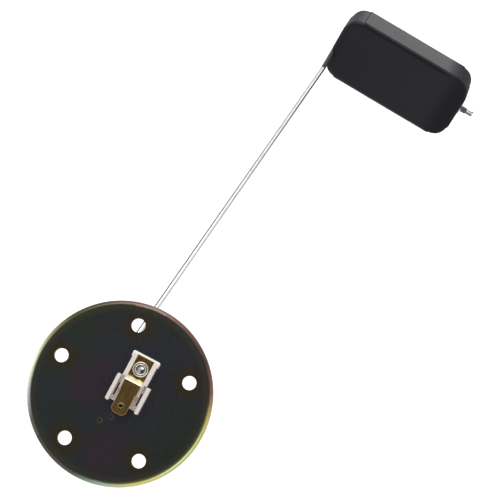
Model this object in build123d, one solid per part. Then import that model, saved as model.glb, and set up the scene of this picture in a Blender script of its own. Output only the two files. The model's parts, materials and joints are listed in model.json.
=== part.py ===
from build123d import *
from math import asin, atan2, cos, degrees, hypot, radians, sin, tan
import os

# Fuel level sender: a round bolted flange with a blade terminal on top, and under it
# a bracket with a wire-wound rheostat that a float swings through a long wire arm.
# Millimetres. The origin is the flange's centre on its sealing face, +Z points out of
# the tank, and +Y is the way the arm reaches. "Sender frame" is the same frame turned
# about Z by sender_turn; in "arm frame" the pivot is the X axis and the wire runs
# along +Y.

# Flange
flange_radius = 36.0
flange_thickness = 2.2
flange_edge_radius = 1.8
flange_lower_chamfer = 0.25
bolt_circle_radius = 27.0
bolt_hole_radius = 2.75
bolt_angles = (180.0, 108.0, 41.0, -41.0, -108.0)
weld_mark_radius = 1.2
weld_mark_floor_radius = 0.8
weld_mark_depth = 0.06
weld_marks = ((-0.85, -12.8), (2.2, -9.45))

# Terminal stack, placed by the axis of its rivet
terminal_x = 2.0
terminal_y = 11.8
terminal_turn = 5.25
terminal_bore_radius = 3.3
boss_clearance = 0.1
insulator_floor = 1.2
insulator_back = 5.7
insulator_length = 20.8
insulator_frame_width = 10.4
insulator_channel_width = 7.0
insulator_wall_height = 1.6
insulator_wing_wall = 0.8
insulator_end_wall = 0.8
insulator_ear_length = 2.45
insulator_ear_width = 11.4
insulator_wing_start = 4.8
insulator_wing_width = 14.1
rail_width = 1.5
rail_height = 2.4
rail_overhang = 0.9
latch_slot_length = 5.4
latch_slot_width = 0.65
latch_slot_start = 7.8
latch_slot_offset = 4.9

blade_thickness = 0.8
blade_pad_length = 4.8
blade_pad_width = 6.9
blade_wide = 7.0
blade_shoulder = 9.8
blade_width = 6.3
blade_length = 19.0
blade_rise = 2.2
blade_joggle_start = 3.6
blade_joggle_length = 2.0
blade_tip_chamfer = 1.3
blade_hole_radius = 0.95
blade_hole_distance = 15.45

rivet_radius = 1.9
rivet_bore_radius = 1.55
rivet_head_radius = 3.1
rivet_head_height = 0.85
rivet_bore_depth = 0.9
rivet_dome_radius = 1.5
rivet_dome_height = 0.75
rivet_tail_depth = 1.6
rivet_tail_radius = 2.7
rivet_tail_height = 0.6
rivet_clearance = 0.05

under_insulator_radius = 4.5
under_insulator_thickness = 1.2

# Bracket: a U of sheet steel welded under the flange
sheet = 1.2
bend_radius = 1.6
bracket_left = -7.0
bracket_right = 9.0
web_back = -16.0
web_front = 19.0
leg_top_half_width = 13.0
leg_top_depth = 3.4
left_leg_end_radius = 8.0
back_plate_radius = 17.0
sender_turn = 2.0

# Pivot
pivot_drop = 24.0
shaft_radius = 2.0
shaft_running_clearance = 0.05
bush_radius = 3.0
bush_flange_radius = 4.5
bush_flange = 0.6
bush_inner_stand = 1.2
wave_washer_thickness = 0.25
washer_radius = 4.0
rear_washer_thickness = 0.3
body_gap = 0.3
clip_thickness = 0.6
clip_groove_radius = 1.6
clip_outer_radius = 4.3
clip_band = 1.2
clip_opening = 3.4
shaft_end = 0.7
shaft_chamfer = 0.3

# Travel: arm slope below the flange's plane, as shown and at both stops
arm_slope = 28.0
arm_slope_full = 5.0
arm_slope_empty = 75.0
stop_inner_radius = 6.6
stop_outer_radius = 7.8
stop_half_width = 1.2
stop_notch_floor = 6.3
stop_clearance = 0.25
stop_reach = 2.0

# Rheostat: a fibre card bent round the pivot, wound with resistance wire
card_radius = 14.0
card_thickness = 0.8
card_left = -2.2
card_right = 6.6
winding_wire = 0.28
winding_lift = 0.4
winding_sleeve = 0.12
winding_turns = 46
winding_half_span = 38.0
clip_half_span = 4.5
card_clip_reach = 6.6
former_thickness = 2.0
former_inner_radius = 10.6
former_corner_radius = 1.5
former_end_span = 7.0
former_groove_clearance = 0.05
former_rivet_clearance = 0.1
former_rivet_radius = 1.2
former_rivet_head_radius = 2.0
former_rivet_head = 0.7

# Wiper
wiper_hub_radius = 4.0
wiper_hub_length = 5.0
wiper_thickness = 0.3
wiper_root_width = 5.0
wiper_tip_width = 2.6
wiper_overhang = 1.3
contact_radius = 0.8
wiper_rivet_radius = 0.5
wiper_rivet_head_radius = 0.8
wiper_rivet_head = 0.35
wiper_rivet_offset = 3.0

# Contact strip from the terminal rivet to the card
strip_thickness = 0.5
strip_width = 4.0
strip_front = 17.2
strip_back_length = 3.4
strip_bend_radius = 1.2
strip_seat_gap = 0.05
strip_rivet_radius = 0.6
strip_rivet_head_radius = 1.1
strip_rivet_head = 0.4

# Arm: lever plate, wire and float
lever_thickness = 1.1
lever_radius = 8.5
lever_tongue_length = 17.0
lever_tongue_width = 6.4
crimp_starts = (9.0, 13.4)
crimp_length = 2.6
crimp_wall = 0.8
crimp_slit = 0.5
wire_radius = 1.1
wire_clearance = 0.02
wire_tail = 5.0
arm_length = 206.0
arm_kink = 3.2
kink_radius = 20.0
end_run = 23.6
end_bend_radius = 2.5
end_turn = 2.5
end_dip = 3.8
float_length = 68.2
float_width = 32.4
float_height = 22.6
float_turn = 63.5
float_corner_radius = 7.0
float_corner_step = 0.55
float_edge_radius = 2.2
float_bore_clearance = 0.08
float_washer_radius = 3.3
float_washer_thickness = 0.5
float_end_play = 0.4
collar_radius = 1.45
collar_chamfer = 0.3
collar_length = 3.0
wire_tip = 7.2
burr_length = 0.5
burr_height = 0.7

# Levels and places that follow from the sizes above
blade_mid = insulator_floor + blade_thickness / 2
web_low = -sheet
left_inner = bracket_left + sheet
right_inner = bracket_right - sheet
lever_inner = bracket_left - bush_flange - wave_washer_thickness - body_gap
lever_outer = lever_inner - lever_thickness
wire_x = lever_outer - wire_radius
rear_washer_out = bracket_right + bush_flange + rear_washer_thickness
clip_inner = rear_washer_out + body_gap
clip_outer = clip_inner + clip_thickness
winding_left = card_left - winding_lift
winding_right = card_right + winding_lift
winding_half = card_thickness / 2 + winding_lift
clip_middle = winding_half_span + 0.5 + clip_half_span
card_half_span = clip_middle + clip_half_span
former_rivet_gap = degrees((former_rivet_head_radius + former_rivet_clearance) / card_radius)
former_rivet_angle = card_half_span + former_rivet_gap
former_half_span = former_rivet_angle + former_end_span
wiper_right = winding_left - body_gap - 0.4
wiper_left = wiper_right - wiper_thickness
arm_slope_middle = (arm_slope_full + arm_slope_empty) / 2
travel = arm_slope_empty - arm_slope_full
float_left = -wire_radius
float_right = float_left + float_length
corner_x = wire_x - end_run * sin(radians(arm_kink))
corner_y = arm_length + end_run * cos(radians(arm_kink))

terminal = Pos(terminal_x, terminal_y, flange_thickness) * Rot(0, 0, terminal_turn - 90)
sender = Rot(0, 0, sender_turn)
arm = sender * Pos(0, 0, -pivot_drop) * Rot(-arm_slope, 0, 0)
float_axle = Pos(corner_x, corner_y, 0) * Rot(0, 0, end_turn) * Rot(0, end_dip, 0)
turned = radians(sender_turn)
strip_x = terminal_x * cos(turned) + terminal_y * sin(turned)
strip_y = terminal_y * cos(turned) - terminal_x * sin(turned)


def slab(x0, x1, y0, y1, z0, z1):
    size = (x1 - x0, y1 - y0, z1 - z0)
    return Pos((x0 + x1) / 2, (y0 + y1) / 2, (z0 + z1) / 2) * Box(*size)


def post(radius, z0, z1):
    return Pos(0, 0, z0) * Cylinder(radius, z1 - z0, align=(Align.CENTER, Align.CENTER, Align.MIN))


def axle(radius, x0, x1):
    # a cylinder along X
    return Pos(x0, 0, 0) * Rot(0, 90, 0) * post(radius, 0, x1 - x0)


def around_pivot(angle, radius):
    # the point (y, z) of the sender frame at an angle and a radius from the pivot
    return radius * cos(radians(angle)), radius * sin(radians(angle)) - pivot_drop


def sector(inner, outer, start, end, x0, x1):
    # a slice of a ring about the X axis, between two angles counted from +Y
    a, b = radians(start), radians(end)
    ring = make_face([
        CenterArc((0, 0), outer, start, end - start),
        Line((outer * cos(b), outer * sin(b)), (inner * cos(b), inner * sin(b))),
        CenterArc((0, 0), inner, start, end - start),
        Line((inner * cos(a), inner * sin(a)), (outer * cos(a), outer * sin(a))),
    ])
    return Pos(x0, 0, 0) * extrude(Plane.YZ * ring, x1 - x0)


def card_sector(inner, outer, middle, half_span, x0, x1):
    # the same, at the pivot's height in the sender frame, with angles counted from straight down
    shape = sector(inner, outer, middle - half_span - 90, middle + half_span - 90, x0, x1)
    return Pos(0, 0, -pivot_drop) * shape


def folded_strip(points, radius, thickness, plane, width):
    # a strip of sheet folded along a path of its middle line, centred across its width
    path = FilletPolyline(*points, radius=radius)
    return extrude(plane * trace(path, line_width=thickness), width / 2, both=True)


def make_flange_plate():
    plate = post(flange_radius, 0, flange_thickness)
    plate = fillet(plate.edges().group_by(Axis.Z)[-1], flange_edge_radius)
    plate = chamfer(plate.edges().group_by(Axis.Z)[0], flange_lower_chamfer)
    for angle in bolt_angles:
        place = Rot(0, 0, angle) * Pos(bolt_circle_radius, 0, 0)
        plate -= place * post(bolt_hole_radius, -1, flange_thickness + 1)
    plate -= Pos(terminal_x, terminal_y, 0) * post(terminal_bore_radius, -1, flange_thickness + 1)
    floor = flange_thickness - weld_mark_depth
    for x, y in weld_marks:
        mark = Cone(weld_mark_floor_radius, weld_mark_radius, weld_mark_depth)
        plate -= Pos(x, y, floor + weld_mark_depth / 2) * mark
    return plate


def leg_outline(end_radius):
    # tapers from the web to a round end about the pivot
    top = Pos(0, -leg_top_depth / 2) * Rectangle(2 * leg_top_half_width, leg_top_depth)
    end = Pos(0, -pivot_drop) * Circle(end_radius)
    web_length = web_front - web_back
    web = Pos((web_front + web_back) / 2, -leg_top_depth / 2) * Rectangle(web_length, leg_top_depth)
    return make_hull((top + end).edges()) + web


def make_mounting_bracket():
    middle = (bracket_left + bracket_right) / 2
    depth = pivot_drop + back_plate_radius
    left, right = bracket_left + sheet / 2, bracket_right - sheet / 2
    path = [(left, -depth), (left, -sheet / 2), (right, -sheet / 2), (right, -depth)]
    channel = folded_strip(path, bend_radius, sheet, Plane.XZ, 2 * max(-web_back, web_front))
    left_side = Pos(bracket_left - 1, 0, 0) * extrude(
        Plane.YZ * leg_outline(left_leg_end_radius), middle - bracket_left + 1)
    right_side = Pos(middle, 0, 0) * extrude(
        Plane.YZ * leg_outline(back_plate_radius), bracket_right - middle + 1)
    bracket = channel & (left_side + right_side)
    # the stop is a tab cut out of the left leg and bent outwards
    height = stop_reach + sheet
    tab = slab(bracket_left - stop_reach, bracket_left + 0.1, stop_inner_radius, stop_outer_radius,
               -stop_half_width, stop_half_width)
    window = slab(bracket_left - 1, left_inner + 1, stop_outer_radius, stop_outer_radius + height,
                  -stop_half_width, stop_half_width)
    place = Pos(0, 0, -pivot_drop) * Rot(180 - arm_slope_middle, 0, 0)
    bracket = bracket + place * tab - place * window
    for x0, x1 in ((bracket_left - 1, left_inner + 1), (right_inner - 1, bracket_right + 1)):
        bracket -= Pos(0, 0, -pivot_drop) * axle(bush_radius, x0, x1)
    for place in former_rivet_places():
        bracket -= place * axle(former_rivet_radius, right_inner - 1, bracket_right + 1)
    bracket = sender * bracket
    return bracket - Pos(terminal_x, terminal_y, 0) * post(terminal_bore_radius, -leg_top_depth, 1)


def make_terminal_insulator():
    front = insulator_length - insulator_back
    half = insulator_wing_width / 2
    base = slab(-insulator_back, insulator_wing_start, -insulator_frame_width / 2,
                insulator_frame_width / 2, 0, insulator_floor)
    base += slab(insulator_wing_start, front, -half, half, 0, insulator_floor)
    wall_top = insulator_floor + insulator_wall_height
    channel = insulator_channel_width / 2
    for side in (-1, 1):
        y0, y1 = sorted((side * channel, side * insulator_frame_width / 2))
        base += slab(-insulator_back, insulator_wing_start, y0, y1, 0, wall_top)
        y0, y1 = sorted((side * channel, side * (channel + insulator_wing_wall)))
        base += slab(insulator_wing_start, blade_shoulder, y0, y1, 0, wall_top)
        ear = Pos(-insulator_back + insulator_ear_length / 2, side * insulator_ear_width / 4, 0)
        ear_base = RectangleRounded(insulator_ear_length, insulator_ear_width / 2, 0.6)
        base += ear * extrude(ear_base, wall_top)
        rail_length = front + rail_overhang - insulator_wing_start
        rail = Pos(insulator_wing_start + rail_length / 2, side * (half - rail_width / 2), 0)
        rail_solid = extrude(SlotOverall(rail_length, rail_width), rail_height + insulator_floor)
        base += rail * chamfer(rail_solid.edges().group_by(Axis.Z)[-1], 0.3)
        slot = Pos(latch_slot_start + latch_slot_length / 2, side * latch_slot_offset, -1)
        base -= slot * extrude(SlotOverall(latch_slot_length, latch_slot_width), insulator_floor + 1.5)
    cavity = slab(-insulator_back + insulator_end_wall, blade_shoulder + 1, -channel, channel,
                  insulator_floor, wall_top + 1)
    base -= cavity
    base += slab(-insulator_back, -insulator_back + insulator_end_wall, -channel, channel,
                 0, wall_top - 0.3)
    return terminal * (base - post(rivet_radius + rivet_clearance, -1, insulator_floor + 1))


def make_blade_terminal():
    low, high = blade_mid, blade_mid + blade_rise
    joggle_end = blade_joggle_start + blade_joggle_length
    path = [(-blade_pad_length, low), (blade_joggle_start, low), (joggle_end, high), (blade_length, high)]
    strip = folded_strip(path, 0.9, blade_thickness, Plane.XZ, blade_wide)
    pad = Pos(-blade_pad_length / 2, 0) * Rectangle(blade_pad_length, blade_pad_width)
    neck = Pos(blade_shoulder / 2, 0) * Rectangle(blade_shoulder, blade_wide)
    tab_length = blade_length - blade_shoulder
    tab = Pos(blade_shoulder + tab_length / 2, 0) * Rectangle(tab_length, blade_width)
    tip = tab.vertices().group_by(Axis.X)[-1]
    outline = pad + neck + chamfer(tip, blade_tip_chamfer)
    strip &= extrude(outline, high + 1)
    strip -= Pos(blade_hole_distance, 0, 0) * post(blade_hole_radius, 0, high + 1)
    return terminal * (strip - post(rivet_radius + rivet_clearance, 0, low + 1))


def make_terminal_rivet():
    # tubular, its head rolled into a ring round the bore, its tail clenched under the strip
    head_low = insulator_floor + blade_thickness
    head_top = head_low + rivet_head_height
    tail_top = web_low - under_insulator_thickness - strip_thickness - flange_thickness
    tail_low = tail_top - rivet_tail_height
    head = post(rivet_head_radius, head_low, head_top)
    head = chamfer(head.edges().group_by(Axis.Z)[-1], 0.3)
    groove = post(rivet_head_radius - 0.75, head_top - 0.25, head_top + 1)
    head -= groove - post(rivet_radius + 0.15, 0, head_top + 2)
    body = head + post(rivet_radius, tail_low, head_low + 0.1)
    body += post(rivet_tail_radius, tail_low, tail_top)
    floor = head_top - rivet_bore_depth
    body -= post(rivet_bore_radius, floor, head_top + 1)
    body -= post(rivet_bore_radius, tail_low - 1, tail_low + rivet_tail_depth)
    # the mandrel's end stands in the bore as a low dome
    ball = (rivet_dome_radius ** 2 + rivet_dome_height ** 2) / (2 * rivet_dome_height)
    dome = Pos(0, 0, floor + rivet_dome_height - ball) * Sphere(ball)
    return terminal * (body + (dome & post(rivet_bore_radius, floor - 0.3, head_top)))


def make_under_insulator():
    top = web_low - flange_thickness
    low = top - under_insulator_thickness
    body = post(under_insulator_radius, low, top)
    body = chamfer(body.edges().group_by(Axis.Z)[0], 0.3)
    body += post(terminal_bore_radius - boss_clearance, low, -boss_clearance)
    return terminal * (body - post(rivet_radius + rivet_clearance, low - 1, 1))


def strip_seat():
    # where the strip's middle line lies on the card's front clip, and the way along the card there
    angle = clip_middle - 90
    y, z = around_pivot(angle, card_radius + winding_half + strip_seat_gap + strip_thickness / 2)
    return y, z, -sin(radians(angle)), cos(radians(angle))


def make_contact_strip():
    level = web_low - under_insulator_thickness - strip_thickness / 2
    y, z, along_y, along_z = strip_seat()
    overlap = card_radius * radians(clip_half_span)
    reach = (strip_front - y) / along_y
    path = [
        (strip_y - strip_back_length, level),
        (strip_front, level),
        (strip_front, z + reach * along_z),
        (y - overlap * along_y, z - overlap * along_z),
    ]
    strip = folded_strip(path, strip_bend_radius, strip_thickness, Plane.YZ, strip_width)
    strip = Pos(strip_x, 0, 0) * strip
    strip -= Pos(strip_x, strip_y, 0) * post(rivet_radius + rivet_clearance, level - 1, level + 1)
    return sender * (strip - strip_rivet_bore())


def strip_rivet_place():
    y, z, along_y, along_z = strip_seat()
    return Pos(strip_x, 0, -pivot_drop) * Rot(clip_middle - 90, 0, 0) * Rot(-90, 0, 0)


def strip_rivet_bore():
    outer = card_radius + winding_half + strip_thickness + 1
    return strip_rivet_place() * post(strip_rivet_radius, card_radius - 2, outer)


def make_strip_rivet():
    inner = card_radius - winding_half - strip_seat_gap
    outer = card_radius + winding_half + strip_seat_gap + strip_thickness
    body = post(strip_rivet_radius, inner - strip_rivet_head, outer + strip_rivet_head)
    body += post(strip_rivet_head_radius, inner - strip_rivet_head, inner)
    body += post(strip_rivet_head_radius, outer, outer + strip_rivet_head)
    return sender * strip_rivet_place() * body


def former_rivet_places():
    return [
        Pos(0, 0, -pivot_drop) * Rot(side * former_rivet_angle - 90, 0, 0) * Pos(0, card_radius, 0)
        for side in (-1, 1)
    ]


def make_resistor_former():
    face = right_inner - former_thickness
    body = card_sector(former_inner_radius, back_plate_radius, 0, former_half_span, face, right_inner)
    corners = body.edges().filter_by(Axis.X)
    body = fillet(corners, former_corner_radius)
    groove = winding_half + former_groove_clearance
    body -= card_sector(card_radius - groove, card_radius + groove, 0, card_half_span + 0.5,
                        face - 1, winding_right)
    for place in former_rivet_places():
        body -= place * axle(former_rivet_radius, face - 1, right_inner + 1)
    return sender * body


def make_former_rivets():
    low = right_inner - former_thickness
    rivets = []
    for place in former_rivet_places():
        rivet = axle(former_rivet_radius, low - former_rivet_head, bracket_right + former_rivet_head)
        rivet += axle(former_rivet_head_radius, low - former_rivet_head, low)
        rivet += axle(former_rivet_head_radius, bracket_right, bracket_right + former_rivet_head)
        rivets.append(sender * place * rivet)
    return Compound(children=rivets)


def make_resistance_card():
    half = card_thickness / 2
    card = card_sector(card_radius - half, card_radius + half, 0, card_half_span, card_left, card_right)
    return sender * (card - strip_rivet_bore())


def make_resistance_winding():
    # every turn is a square-cut ring round the card, on a thin sleeve that joins them
    half = card_thickness / 2
    sleeve = half + winding_sleeve
    body = card_sector(card_radius - sleeve, card_radius + sleeve, 0, winding_half_span,
                       card_left - winding_sleeve, card_right + winding_sleeve)
    pitch = 2 * winding_half_span / winding_turns
    turn_half = degrees(winding_wire / 2 / card_radius)
    turns = [
        card_sector(card_radius - winding_half, card_radius + winding_half,
                    (i + 0.5) * pitch - winding_half_span, turn_half, winding_left, winding_right)
        for i in range(winding_turns)
    ]
    body = body.fuse(*turns)
    body -= card_sector(card_radius - half, card_radius + half, 0, winding_half_span + 1,
                        card_left, card_right)
    return sender * body


def make_card_clips():
    # a folded clip grips the card's free edge at each end of the winding
    half = card_thickness / 2
    clips = []
    for side in (-1, 1):
        middle = side * clip_middle
        clip = card_sector(card_radius - winding_half, card_radius + winding_half, middle,
                           clip_half_span, winding_left, winding_left + card_clip_reach)
        clip -= card_sector(card_radius - half, card_radius + half, middle, clip_half_span + 1,
                            card_left, card_right + 1)
        clips.append(clip - strip_rivet_bore() if side > 0 else clip)
    return Compound(children=[sender * clip for clip in clips])


def make_bush(outer, inner, side):
    # side is -1 with the flange at the low end of X, and 1 with it at the high end
    face = outer + side * bush_flange
    end = inner - side * bush_inner_stand
    body = axle(bush_radius, min(end, outer), max(end, outer))
    body += axle(bush_flange_radius, min(face, outer), max(face, outer))
    body -= axle(shaft_radius + shaft_running_clearance, min(face, end) - 1, max(face, end) + 1)
    return sender * Pos(0, 0, -pivot_drop) * body


def make_ring(inner, outer, x0, x1):
    return sender * Pos(0, 0, -pivot_drop) * (axle(outer, x0, x1) - axle(inner, x0 - 1, x1 + 1))


def make_pivot_shaft():
    end = clip_outer + shaft_end
    body = axle(shaft_radius, lever_outer, end)
    body = chamfer(body.edges().group_by(Axis.X)[-1], shaft_chamfer)
    body -= axle(shaft_radius + 1, clip_inner, clip_outer) - axle(clip_groove_radius, lever_outer, end)
    return arm * body


def make_retaining_clip():
    # an open ring with three teeth that reach into the shaft's groove
    inner = clip_outer_radius - clip_band
    ring = Circle(clip_outer_radius) - Circle(inner)
    ring -= Pos(0, -clip_outer_radius) * Rectangle(clip_opening, 2 * clip_outer_radius)
    for angle in (0, 90, 180):
        tooth = Pos((inner + clip_groove_radius) / 2 + 0.1, 0)
        ring += Rot(0, 0, angle) * tooth * Rectangle(inner - clip_groove_radius + 0.2, 1.5)
    ring -= Circle(clip_groove_radius)
    return arm * Pos(clip_inner, 0, 0) * extrude(Plane.YZ * ring, clip_thickness)


def make_arm_lever():
    # a round plate with a notch for the stop, and a tongue whose tabs close round the wire
    body = axle(lever_radius, lever_outer, lever_inner)
    body += slab(lever_outer, lever_inner, 0, lever_tongue_length,
                 -lever_tongue_width / 2, lever_tongue_width / 2)
    body = fillet(body.edges().filter_by(Axis.X).group_by(Axis.Y)[-1], 1.5)
    lug = degrees(asin(stop_half_width / stop_inner_radius))
    slack = degrees(stop_clearance / stop_inner_radius)
    half = travel / 2 + lug + slack
    body -= sector(stop_notch_floor, lever_radius + 1, 180 - half, 180 + half,
                   lever_outer - 1, lever_inner + 1)
    reach = wire_radius + crimp_wall
    hollow = wire_radius + wire_clearance
    for start in crimp_starts:
        band = Circle(reach) + Pos(wire_radius / 2, 0) * Rectangle(wire_radius, 2 * reach)
        band -= Circle(hollow) + Pos(wire_radius, 0) * Rectangle(2 * wire_radius, 2 * hollow)
        band -= Pos(-reach, 0) * Rectangle(2 * crimp_wall + 1, crimp_slit)
        solid = extrude(Plane.XZ * band, -crimp_length)
        body += Pos(wire_x, start, 0) * solid
    return arm * (body - axle(shaft_radius, lever_outer - 1, lever_inner + 1))


def wire_path():
    end = (float_axle * Pos(float_right + wire_tip, 0, 0)).position
    points = [
        (wire_x, -wire_tail, 0),
        (wire_x, arm_length, 0),
        (corner_x, corner_y, 0),
        tuple(end),
    ]
    return FilletPolyline(*points, radius=[kink_radius, end_bend_radius])


def round_wire(radius):
    section = Plane(origin=(wire_x, -wire_tail, 0), z_dir=(0, 1, 0)) * Circle(radius)
    return sweep(section, path=wire_path())


def make_arm_wire():
    # shearing the wire left a burr on its tip
    tip = float_right + wire_tip
    burr = slab(tip - burr_length, tip, wire_radius / 2, wire_radius + burr_height,
                -burr_length / 2, burr_length / 2)
    return arm * (round_wire(wire_radius) + float_axle * burr)


def make_wiper_hub():
    body = axle(wiper_hub_radius, wiper_right, wiper_right + wiper_hub_length)
    body = chamfer(body.edges().group_by(Axis.X)[-1], 0.4)
    body -= axle(shaft_radius, wiper_right - 1, wiper_right + wiper_hub_length + 1)
    for side in (-1, 1):
        bore = axle(wiper_rivet_radius, wiper_right - 1, wiper_right + 2)
        body -= Pos(0, 0, side * wiper_rivet_offset) * bore
    return wiper_place() * body


def wiper_place():
    # turned so that the contact stands at the card's middle when the arm is half way
    return arm * Rot(arm_slope_middle - 90, 0, 0)


def make_wiper():
    reach = card_radius + wiper_overhang
    root, tip = wiper_root_width / 2, wiper_tip_width / 2
    blade = make_face(Polyline((0, -root), (reach, -tip), (reach, tip), (0, root), close=True))
    blade = fillet(blade.vertices().group_by(Axis.X)[-1], tip * 0.8)
    blade = blade + Circle(wiper_hub_radius) - Circle(shaft_radius)
    slot = Pos((wiper_hub_radius + card_radius) / 2, 0)
    blade -= slot * SlotOverall(card_radius - wiper_hub_radius - 3.0, 0.8)
    for side in (-1, 1):
        blade -= Rot(0, 0, 90) * Pos(side * wiper_rivet_offset, 0) * Circle(wiper_rivet_radius)
    blade -= Pos(card_radius, 0) * Circle(contact_radius / 2)
    return wiper_place() * Pos(wiper_left, 0, 0) * extrude(Plane.YZ * blade, wiper_thickness)


def make_wiper_rivets():
    rivets = []
    for side in (-1, 1):
        rivet = axle(wiper_rivet_radius, wiper_left - wiper_rivet_head, wiper_right + 2)
        rivet += axle(wiper_rivet_head_radius, wiper_left - wiper_rivet_head, wiper_left)
        rivets.append(wiper_place() * Pos(0, 0, side * wiper_rivet_offset) * rivet)
    return Compound(children=rivets)


def make_wiper_contact():
    rounded = axle(contact_radius, wiper_right, winding_left - body_gap)
    rounded = chamfer(rounded.edges().group_by(Axis.X)[-1], 0.3)
    body = rounded + axle(contact_radius / 2, wiper_left - 0.3, wiper_right + 0.1)
    body += axle(contact_radius * 0.8, wiper_left - 0.3, wiper_left)
    return wiper_place() * Pos(0, card_radius, 0) * body


def make_float():
    # flats stand a little proud of the rounded corners, as the mould left them
    step = float_corner_step
    inset = float_corner_radius + step
    outline = RectangleRounded(float_length - 2 * step, float_width - 2 * step, float_corner_radius)
    block = extrude(outline, float_height / 2, both=True)
    rims = block.edges().group_by(Axis.Z)
    block = fillet(rims[0] + rims[-1], float_edge_radius)
    along = Box(float_length, float_width - 2 * inset, float_height)
    across = Box(float_length - 2 * inset, float_width, float_height)
    block += fillet(along.edges().filter_by(Axis.Y), float_edge_radius)
    block += fillet(across.edges().filter_by(Axis.X), float_edge_radius)
    block = float_axle * Pos((float_left + float_right) / 2, 0, 0) * Rot(float_turn, 0, 0) * block
    # the wire lies flush in a slot across the end face before it turns into the bore
    hollow = wire_radius + float_bore_clearance
    slot = slab(-2 * wire_radius, 0, -float_width, hollow, -hollow, hollow)
    block -= Pos(corner_x, corner_y, 0) * Rot(0, 0, arm_kink) * slot
    return arm * (block - round_wire(hollow))


def make_float_washer():
    face = float_right + float_end_play
    body = axle(float_washer_radius, face, face + float_washer_thickness)
    body -= axle(wire_radius + wire_clearance, face - 1, face + 2)
    return arm * float_axle * body


def make_float_collar():
    face = float_right + float_end_play + float_washer_thickness
    body = axle(collar_radius, face, face + collar_length)
    body = chamfer(body.edges().filter_by(GeomType.CIRCLE), collar_chamfer)
    body -= axle(wire_radius + wire_clearance, face - 1, face + collar_length + 1)
    return arm * float_axle * body


bush_bore = shaft_radius + shaft_running_clearance
wave_washer_out = bracket_left - bush_flange
parts = {
    "flange_plate": make_flange_plate(),
    "mounting_bracket": make_mounting_bracket(),
    "terminal_insulator": make_terminal_insulator(),
    "blade_terminal": make_blade_terminal(),
    "terminal_rivet": make_terminal_rivet(),
    "under_insulator": make_under_insulator(),
    "contact_strip": make_contact_strip(),
    "strip_rivet": make_strip_rivet(),
    "resistor_former": make_resistor_former(),
    "former_rivets": make_former_rivets(),
    "resistance_card": make_resistance_card(),
    "resistance_winding": make_resistance_winding(),
    "card_clips": make_card_clips(),
    "front_bush": make_bush(bracket_left, left_inner, -1),
    "rear_bush": make_bush(bracket_right, right_inner, 1),
    "wave_washer": make_ring(bush_bore + 0.1, washer_radius,
                             wave_washer_out - wave_washer_thickness, wave_washer_out),
    "rear_washer": make_ring(bush_bore + 0.1, washer_radius,
                             rear_washer_out - rear_washer_thickness, rear_washer_out),
    "pivot_shaft": make_pivot_shaft(),
    "retaining_clip": make_retaining_clip(),
    "arm_lever": make_arm_lever(),
    "arm_wire": make_arm_wire(),
    "wiper_hub": make_wiper_hub(),
    "wiper": make_wiper(),
    "wiper_rivets": make_wiper_rivets(),
    "wiper_contact": make_wiper_contact(),
    "float": make_float(),
    "float_washer": make_float_washer(),
    "float_collar": make_float_collar(),
}

os.makedirs("parts", exist_ok=True)
for name, shape in parts.items():
    export_step(shape, f"parts/{name}.step")
print(len(parts), "pieces written")
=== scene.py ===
import json
from itertools import product
from math import cos, pi, radians, sin

import bmesh
import bpy
from mathutils import Matrix, Vector, noise


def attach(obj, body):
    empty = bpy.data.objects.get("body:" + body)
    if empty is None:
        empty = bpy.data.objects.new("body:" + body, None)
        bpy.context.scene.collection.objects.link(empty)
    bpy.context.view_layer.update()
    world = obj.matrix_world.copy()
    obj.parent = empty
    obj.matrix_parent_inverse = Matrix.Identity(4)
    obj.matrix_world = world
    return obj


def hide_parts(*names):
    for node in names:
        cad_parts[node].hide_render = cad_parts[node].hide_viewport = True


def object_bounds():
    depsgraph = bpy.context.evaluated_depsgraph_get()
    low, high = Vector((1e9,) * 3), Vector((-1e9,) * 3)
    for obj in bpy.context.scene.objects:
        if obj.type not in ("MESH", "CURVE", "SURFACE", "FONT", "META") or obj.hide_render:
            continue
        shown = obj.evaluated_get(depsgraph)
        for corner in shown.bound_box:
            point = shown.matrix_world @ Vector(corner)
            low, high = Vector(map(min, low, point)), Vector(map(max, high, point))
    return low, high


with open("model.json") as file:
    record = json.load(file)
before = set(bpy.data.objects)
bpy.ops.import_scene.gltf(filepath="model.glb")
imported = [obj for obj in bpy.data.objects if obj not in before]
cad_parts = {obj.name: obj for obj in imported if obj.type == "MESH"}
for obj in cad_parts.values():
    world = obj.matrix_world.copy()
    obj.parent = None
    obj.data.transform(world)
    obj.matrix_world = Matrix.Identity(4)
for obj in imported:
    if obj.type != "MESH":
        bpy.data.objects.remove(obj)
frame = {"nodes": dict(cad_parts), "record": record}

cadBox = [list(corner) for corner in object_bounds()]
scene = bpy.context.scene
nodes = frame["nodes"]
print("frame loaded:", len(nodes), "parts")


# a socket in an expression: each operator adds a Math node behind it
class Signal:
    def __init__(self, sheet, socket):
        self.sheet = sheet
        self.socket = socket

    def __add__(self, other):
        return self.sheet.maths("ADD", self, other)

    def __radd__(self, other):
        return self.sheet.maths("ADD", other, self)

    def __sub__(self, other):
        return self.sheet.maths("SUBTRACT", self, other)

    def __rsub__(self, other):
        return self.sheet.maths("SUBTRACT", other, self)

    def __mul__(self, other):
        return self.sheet.maths("MULTIPLY", self, other)

    def __rmul__(self, other):
        return self.sheet.maths("MULTIPLY", other, self)

    def __truediv__(self, other):
        return self.sheet.maths("DIVIDE", self, other)

    def __pow__(self, other):
        return self.sheet.maths("POWER", self, other)

    def __abs__(self):
        return self.sheet.maths("ABSOLUTE", self)

    def pick(self, output):
        # another output of the same node
        return Signal(self.sheet, self.socket.node.outputs[output])


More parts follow.
